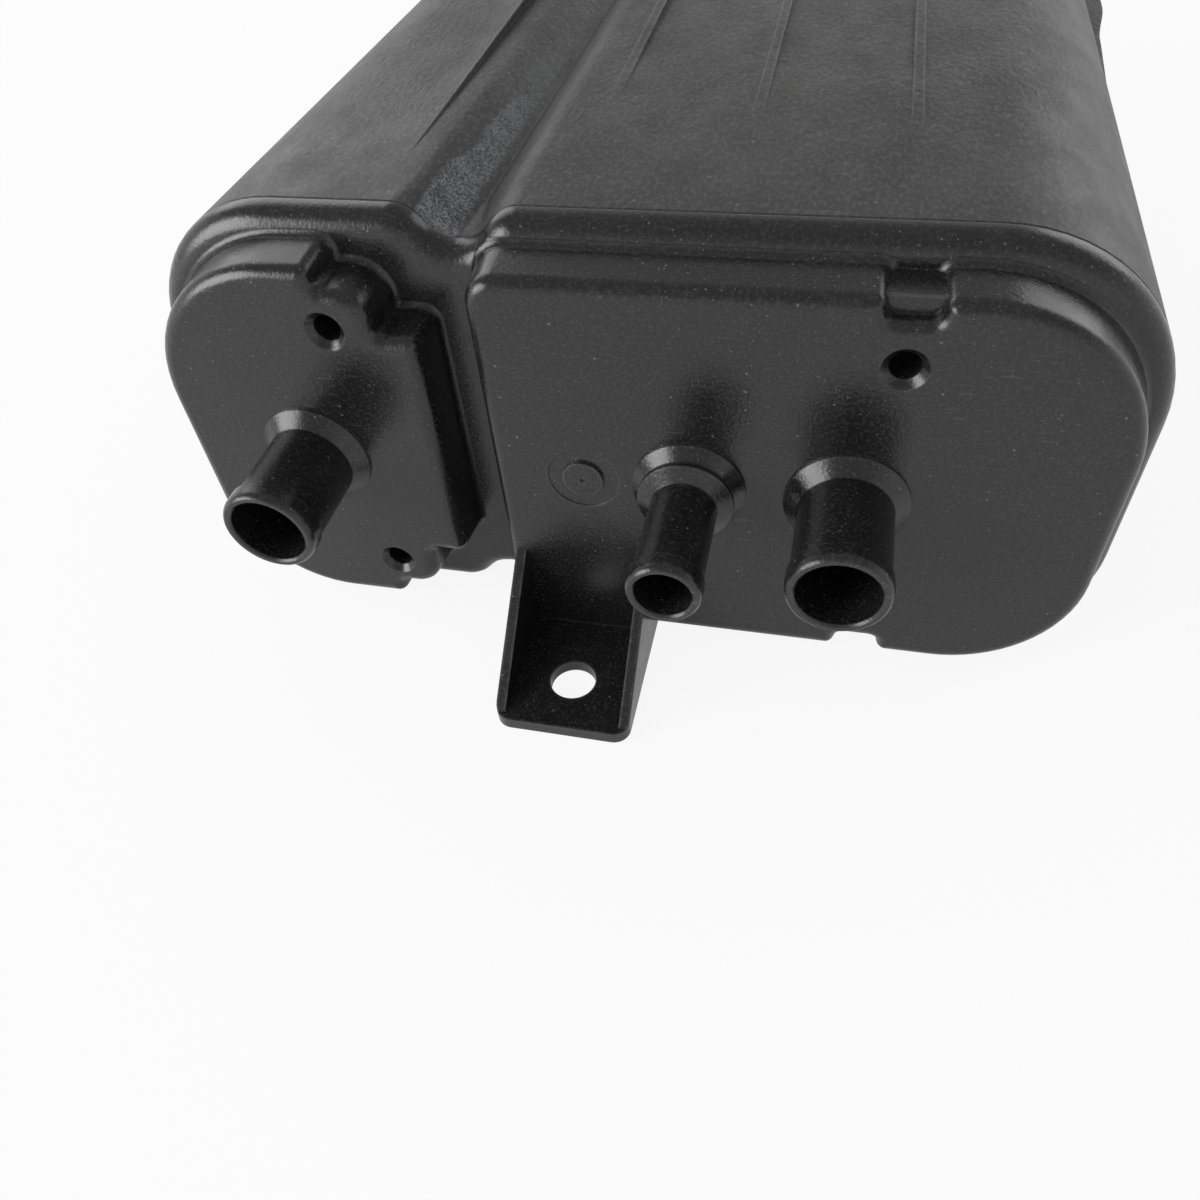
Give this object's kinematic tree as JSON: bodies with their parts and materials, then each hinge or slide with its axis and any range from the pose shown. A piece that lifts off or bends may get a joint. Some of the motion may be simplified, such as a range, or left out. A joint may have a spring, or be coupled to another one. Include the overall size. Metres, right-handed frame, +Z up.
{
  "type": "charcoal canister",
  "caption": "Long moulded charcoal canister for fuel vapour, with a chambered housing, a ported front cover with hose nipples and a gusseted bracket, and spring-loaded carbon beds inside.",
  "frame": {"origin": "under the middle of the box round the whole canister, level with its underside", "axes": "+Y from the front cover to the rear wall along the chambers, +Z up, +X towards the main chamber's outer side, which is to the right seen from the front"},
  "size_m": [0.1776, 0.2618, 0.0887],
  "materials": {
    "black_plastic": "satin, fine moulded grain",
    "grey_plastic": "matt",
    "fleece": "needled fibre",
    "carbon": "granular",
    "spring_steel": "drawn wire"
  },
  "bodies": {
    "root": {"housing": "black_plastic", "front_cover": "black_plastic", "main_front_grid": "grey_plastic", "main_front_fleece": "fleece", "main_carbon_bed": "carbon", "main_rear_fleece": "fleece", "main_compression_plate": "grey_plastic", "main_spring_inner": "spring_steel", "main_spring_outer": "spring_steel", "side_front_grid": "grey_plastic", "side_front_fleece": "fleece", "side_carbon_bed": "carbon", "side_rear_fleece": "fleece", "side_compression_plate": "grey_plastic", "side_spring": "spring_steel"}
  },
  "joints": []
}
